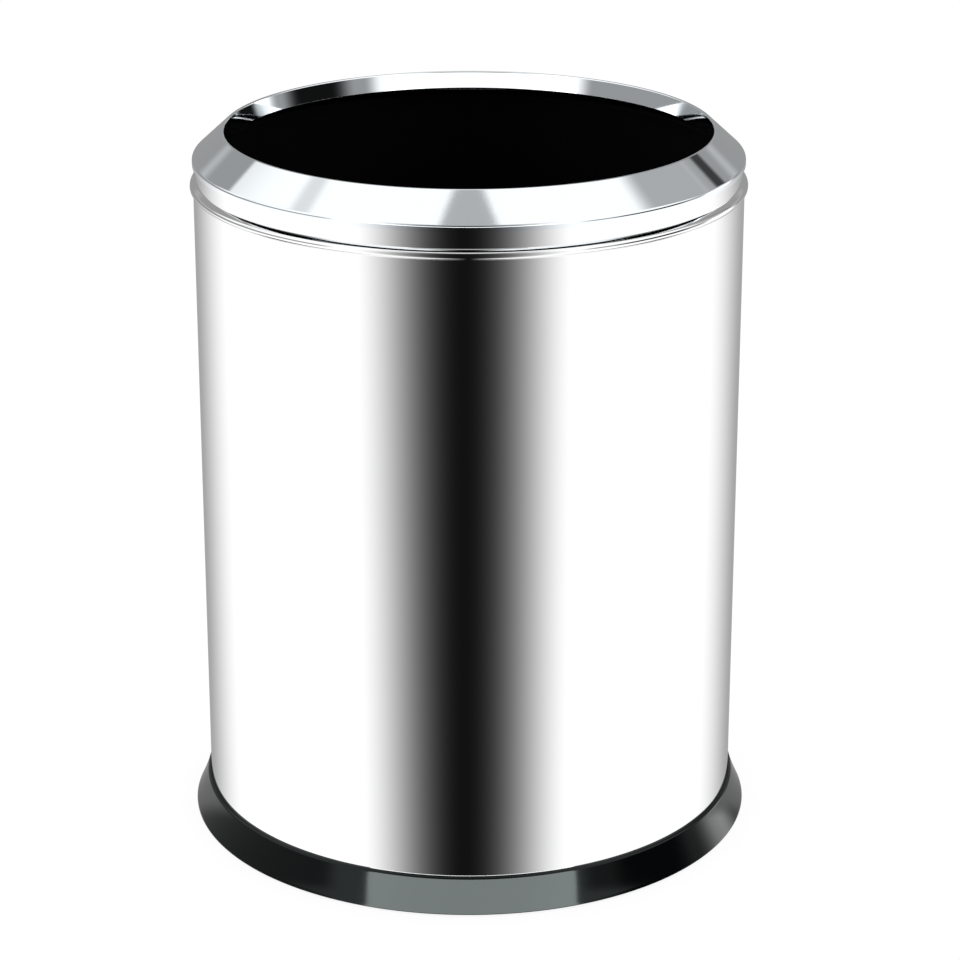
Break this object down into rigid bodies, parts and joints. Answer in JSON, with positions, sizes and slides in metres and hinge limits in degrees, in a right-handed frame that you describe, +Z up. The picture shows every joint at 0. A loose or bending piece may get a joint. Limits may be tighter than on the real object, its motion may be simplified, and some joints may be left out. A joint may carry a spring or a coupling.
{
  "type": "wastebasket",
  "caption": "Round open-top wastebasket: mirror-polished steel shell on a flared black plastic base, with a lift-out black liner and a bevelled lift-off ring that traps the bag.",
  "frame": {"origin": "on the floor under the centre of the base, at the centre of the whole object's footprint", "axes": "+Z up along the bin's axis of revolution, +X to the viewer's right and -Y towards the viewer in the pictured view"},
  "size_m": [0.2434, 0.2434, 0.3044],
  "materials": {
    "mirror_steel": "mirror-polished stainless steel",
    "galvanised_steel": "galvanised, dull",
    "gloss_black_plastic": "high gloss black",
    "zinc_screws": "zinc plated",
    "foot_rubber": "matt",
    "liner_plastic": "fine satin black",
    "ring_steel": "mirror-polished stainless steel"
  },
  "bodies": {
    "shell": {"outer_shell": "mirror_steel", "bottom_plate": "galvanised_steel", "base": "gloss_black_plastic", "base_screws": "zinc_screws", "rubber_feet": "foot_rubber"},
    "liner": {"inner_liner": "liner_plastic"},
    "ring": {"top_ring": "ring_steel"}
  },
  "joints": [
    {"name": "liner_lift", "type": "slide", "parent": "shell", "child": "liner", "axis": [0, 0, 1], "range_m": [0, 0.3]},
    {"name": "ring_lift", "type": "slide", "parent": "liner", "child": "ring", "axis": [0, 0, 1], "range_m": [0, 0.08]}
  ]
}
